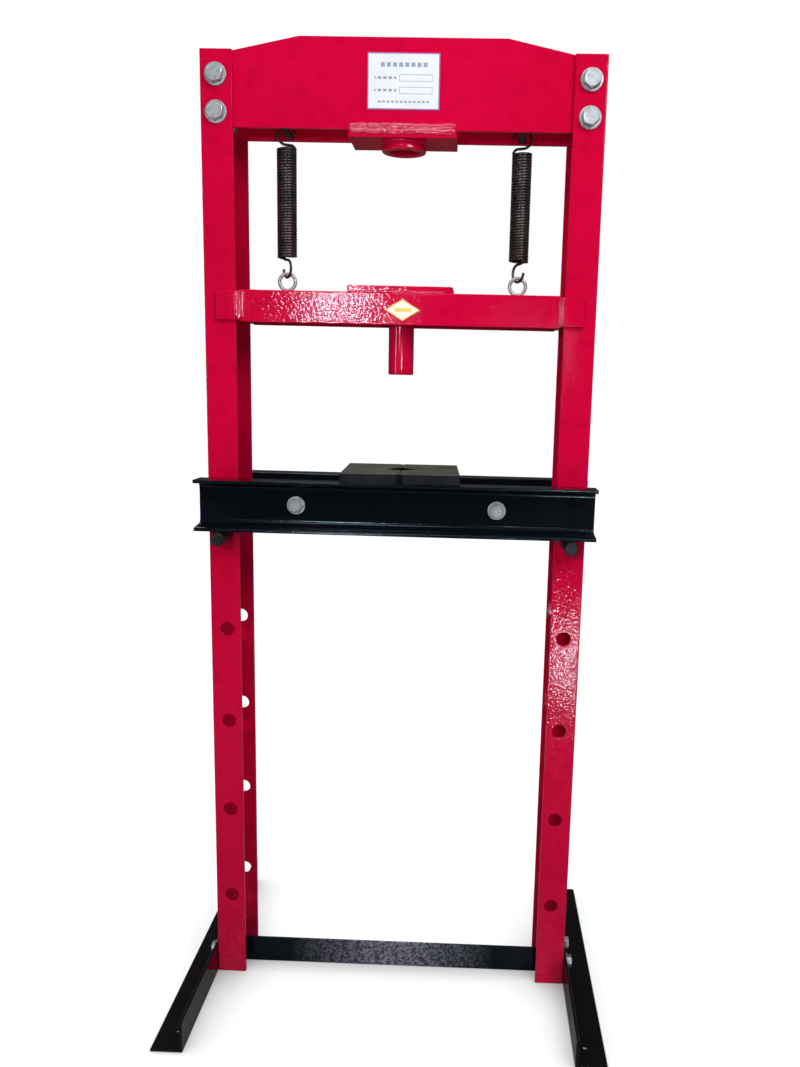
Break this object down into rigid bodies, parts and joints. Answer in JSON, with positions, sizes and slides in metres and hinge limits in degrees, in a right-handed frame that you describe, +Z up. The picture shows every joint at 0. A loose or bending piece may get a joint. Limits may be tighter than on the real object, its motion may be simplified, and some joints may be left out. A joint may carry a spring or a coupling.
{
  "type": "hydraulic shop press",
  "caption": "Bolted H-frame shop press: channel uprights, gusset head, sprung sliding ram beam, pinned channel bed with notched press plates, angle feet.",
  "frame": {"origin": "on the floor at the bottom centre of the press", "axes": "+Z up, +X to the operator's right, -Y towards the operator"},
  "size_m": [0.7006, 0.52, 1.515],
  "materials": {
    "red_paint": "glossy crimson enamel with light orange peel",
    "black_paint": "glossy blue-black enamel",
    "zinc": "bright zinc plate",
    "spring_steel": "oiled black spring steel",
    "plate_steel": "dark olive machined steel, oiled",
    "dark_steel": "blackened bar steel",
    "label": "blank white sticker",
    "yellow_label": "blank yellow sticker"
  },
  "bodies": {
    "frame": {"left_upright": "red_paint", "right_upright": "red_paint", "front_head_plate": "red_paint", "rear_head_plate": "red_paint", "thrust_plate": "red_paint", "jack_socket": "red_paint", "left_spring_rod": "dark_steel", "right_spring_rod": "dark_steel", "head_bolt_front_left_lower": "zinc", "head_nut_front_left_lower": "zinc", "head_bolt_front_left_upper": "zinc", "head_nut_front_left_upper": "zinc", "head_bolt_front_right_lower": "zinc", "head_nut_front_right_lower": "zinc", "head_bolt_front_right_upper": "zinc", "head_nut_front_right_upper": "zinc", "head_bolt_rear_left_lower": "zinc", "head_nut_rear_left_lower": "zinc", "head_bolt_rear_left_upper": "zinc", "head_nut_rear_left_upper": "zinc", "head_bolt_rear_right_lower": "zinc", "head_nut_rear_right_lower": "zinc", "head_bolt_rear_right_upper": "zinc", "head_nut_rear_right_upper": "zinc", "rating_plate": "label", "left_foot": "black_paint", "foot_bolt_left_front": "zinc", "foot_bolt_left_rear": "zinc", "right_foot": "black_paint", "foot_bolt_right_front": "zinc", "foot_bolt_right_rear": "zinc", "base_crossbar": "black_paint", "left_return_spring": "spring_steel", "right_return_spring": "spring_steel"},
    "ram_beam": {"ram_beam_channel": "red_paint", "jack_base_plate": "red_paint", "ram": "red_paint", "left_beam_end_plate": "red_paint", "guide_tab_front_left": "red_paint", "guide_tab_rear_left": "red_paint", "left_eye_bolt": "zinc", "left_eye_nut": "zinc", "right_beam_end_plate": "red_paint", "guide_tab_front_right": "red_paint", "guide_tab_rear_right": "red_paint", "right_eye_bolt": "zinc", "right_eye_nut": "zinc", "diamond_plate": "yellow_label"},
    "bed": {"front_bed_channel": "black_paint", "rear_bed_channel": "black_paint", "left_bed_spacer": "black_paint", "left_bed_bolt": "zinc", "left_bed_nut": "zinc", "right_bed_spacer": "black_paint", "right_bed_bolt": "zinc", "right_bed_nut": "zinc"},
    "left_pin": {"left_support_pin": "dark_steel"},
    "right_pin": {"right_support_pin": "dark_steel"},
    "left_plate": {"left_press_plate": "plate_steel"},
    "right_plate": {"right_press_plate": "plate_steel"}
  },
  "joints": [
    {"name": "ram_beam_slide", "type": "slide", "parent": "frame", "child": "ram_beam", "axis": [0, 0, -1], "range_m": [0, 0.12], "stiffness_N_per_m": 8300, "springref_m": -0.018, "deforming": ["left_return_spring", "right_return_spring"]},
    {"name": "bed_lift", "type": "slide", "parent": "frame", "child": "bed", "axis": [0, 0, 1], "range_m": [0, 0.02]},
    {"name": "left_pin_slide", "type": "slide", "parent": "frame", "child": "left_pin", "axis": [0, -1, 0], "range_m": [0, 0.16]},
    {"name": "right_pin_slide", "type": "slide", "parent": "frame", "child": "right_pin", "axis": [0, -1, 0], "range_m": [0, 0.16]},
    {"name": "left_plate_slide", "type": "slide", "parent": "bed", "child": "left_plate", "axis": [-0.999, -0.0436, 0], "range_m": [0, 0.13]},
    {"name": "right_plate_slide", "type": "slide", "parent": "bed", "child": "right_plate", "axis": [0.999, 0.0436, 0], "range_m": [0, 0.13]}
  ]
}
